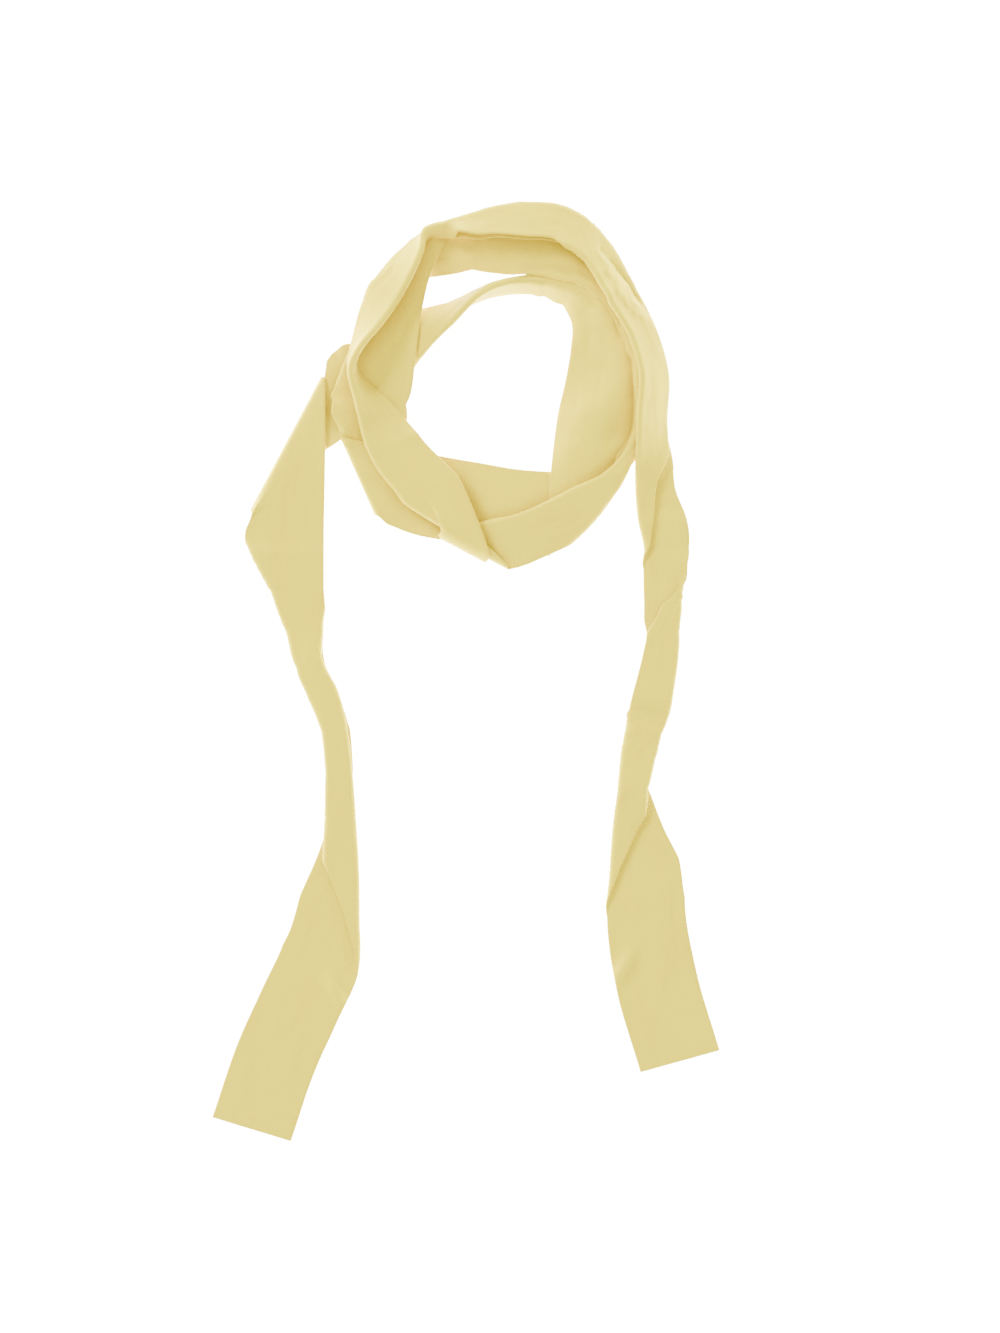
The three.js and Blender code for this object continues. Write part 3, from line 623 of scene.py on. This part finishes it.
# Mask for the painted shade at the edges: 0 inside, rising to 1 at both sides of the band
def edgeGroup():
    half = band["width"] / 2
    group, start, end = nodeGroup(
        "paintedEdgeShadeMask", [("Across", "NodeSocketFloat")], [("Edge", "NodeSocketFloat")],
    )
    fromMiddle = mathNode(group, "ABSOLUTE", mathNode(group, "SUBTRACT", start.outputs["Across"], half))
    reach = group.nodes.new("ShaderNodeMapRange")
    reach.interpolation_type = "SMOOTHSTEP"
    reach.inputs["From Min"].default_value = half - cloth["edge"]
    reach.inputs["From Max"].default_value = half
    group.links.new(fromMiddle, reach.inputs["Value"])
    group.links.new(reach.outputs[0], end.inputs["Edge"])
    return group


def clothMaterial():
    material = bpy.data.materials.new("paleYellowDoubleCloth")
    material.use_nodes = True
    tree = material.node_tree
    shader = tree.nodes["Principled BSDF"]
    shader.inputs["Roughness"].default_value = cloth["roughness"]
    shader.inputs["Specular IOR Level"].default_value = cloth["specular"]
    shader.inputs["Sheen Weight"].default_value = cloth["sheen"]
    shader.inputs["Sheen Roughness"].default_value = cloth["sheenRoughness"]
    shader.inputs["Sheen Tint"].default_value = cloth["sheenTint"]
    place = tree.nodes.new("ShaderNodeAttribute")
    place.attribute_name = "clothPlaceAndPaintedShade"
    parts = tree.nodes.new("ShaderNodeSeparateXYZ")
    tree.links.new(place.outputs["Vector"], parts.inputs[0])

    def use(group):
        node = tree.nodes.new("ShaderNodeGroup")
        node.node_tree = group
        return node

    ribs, creases, edge = use(ribGroup()), use(creaseGroup()), use(edgeGroup())
    tree.links.new(parts.outputs[0], ribs.inputs["Along"])
    tree.links.new(parts.outputs[1], ribs.inputs["Across"])
    tree.links.new(parts.outputs[1], edge.inputs["Across"])
    tree.links.new(place.outputs["Vector"], creases.inputs["Place"])

    # Share of the deep colour: the slow tone, plus painted shade between the ribs and at the edges
    slow = mathNode(tree, "MULTIPLY_ADD", creases.outputs["Tone"], *cloth["slowTone"])
    between = mathNode(tree, "MULTIPLY_ADD", ribs.outputs["Height"], cloth["paintedRibShade"], slow)
    share = mathNode(tree, "MULTIPLY_ADD", edge.outputs["Edge"], cloth["paintedEdgeShade"], between)
    tone = tree.nodes.new("ShaderNodeMix")
    tone.data_type = "RGBA"
    tone.inputs["A"].default_value = cloth["light"]
    tone.inputs["B"].default_value = cloth["deep"]
    tree.links.new(share, tone.inputs["Factor"])
    # The third part of the attribute is the share of painted shade, which darkens each crevice in the colour
    paintedShade = tree.nodes.new("ShaderNodeMix")
    paintedShade.data_type = "RGBA"
    paintedShade.inputs["B"].default_value = cloth["paintedShade"]
    tree.links.new(mathNode(tree, "MULTIPLY", parts.outputs[2], cloth["paintedShadeStrength"]), paintedShade.inputs["Factor"])
    tree.links.new(tone.outputs["Result"], paintedShade.inputs["A"])
    tree.links.new(paintedShade.outputs["Result"], shader.inputs["Base Color"])

    def bump(height, strength, distance):
        node = tree.nodes.new("ShaderNodeBump")
        node.inputs["Strength"].default_value = strength
        node.inputs["Distance"].default_value = distance
        tree.links.new(height, node.inputs["Height"])
        return node

    broad = bump(creases.outputs["Height"], *cloth["broadBump"])
    fine = bump(ribs.outputs["Height"], *cloth["fineBump"])
    tree.links.new(broad.outputs[0], fine.inputs["Normal"])
    tree.links.new(fine.outputs[0], shader.inputs["Normal"])
    return material


scarf.data.materials.append(clothMaterial())
print("cloth: done")

# Floor, light and camera
view = {
    "lens": 100.0,
    "pixel": 0.625,  # mm of the scarf for one pixel of the photograph
    "frame": (1000, 1333),
    "scarfAt": (464.5, 669.0),  # pixel where the tables have their zero
    "sensor": 36.0,  # mm, upright
    "floorSize": 3.0,  # metres from the middle to each side
    "floorGlow": 16.0,  # the floor is a lit white table
    "sky": 1.7,
}


def floorPlane():
    mesh = bpy.data.meshes.new("floor")
    size = view["floorSize"]
    corners = [(-size, -size, 0), (size, -size, 0), (size, size, 0), (-size, size, 0)]
    mesh.from_pydata(corners, [], [(0, 1, 2, 3)])
    obj = bpy.data.objects.new("floor", mesh)
    bpy.context.collection.objects.link(obj)
    material = bpy.data.materials.new("paleFloor")
    material.use_nodes = True
    shader = material.node_tree.nodes["Principled BSDF"]
    shader.inputs["Base Color"].default_value = (0.93, 0.93, 0.93, 1)
    shader.inputs["Roughness"].default_value = 0.9
    shader.inputs["Emission Color"].default_value = (1, 1, 1, 1)
    shader.inputs["Emission Strength"].default_value = view["floorGlow"]
    mesh.materials.append(material)
    return obj


# A soft square light that faces the middle of the ring
def areaLight(name, place, size, power, target=(0, 0.1, 0)):
    data = bpy.data.lights.new(name, "AREA")
    data.size = size
    data.energy = power
    obj = bpy.data.objects.new(name, data)
    obj.location = place
    way = np.array(target) - np.array(place)
    obj.rotation_euler = Vector(way).to_track_quat("-Z", "Y").to_euler()
    bpy.context.collection.objects.link(obj)


floorPlane()
areaLight("key", (-3.6, 3.6, 3.5), 1.8, 500)
areaLight("fill", (0.6, -0.8, 2.2), 2.5, 20)

camera = bpy.data.cameras.new("camera")
camera.lens = view["lens"]
camera.sensor_fit = "VERTICAL"
camera.sensor_height = view["sensor"]
cameraObject = bpy.data.objects.new("camera", camera)
middle = np.array(view["frame"]) / 2 - np.array(view["scarfAt"])
centre = (middle * np.array([1, -1]) * view["pixel"] - np.array(band["origin"])) * mm
distance = view["frame"][1] * view["pixel"] * mm * view["lens"] / view["sensor"]
cameraObject.location = (centre[0], centre[1], distance)
bpy.context.collection.objects.link(cameraObject)
bpy.context.scene.camera = cameraObject

world = bpy.data.worlds.new("studio")
world.use_nodes = True
world.node_tree.nodes["Background"].inputs["Color"].default_value = (1, 1, 1, 1)
world.node_tree.nodes["Background"].inputs["Strength"].default_value = view["sky"]
bpy.context.scene.world = world
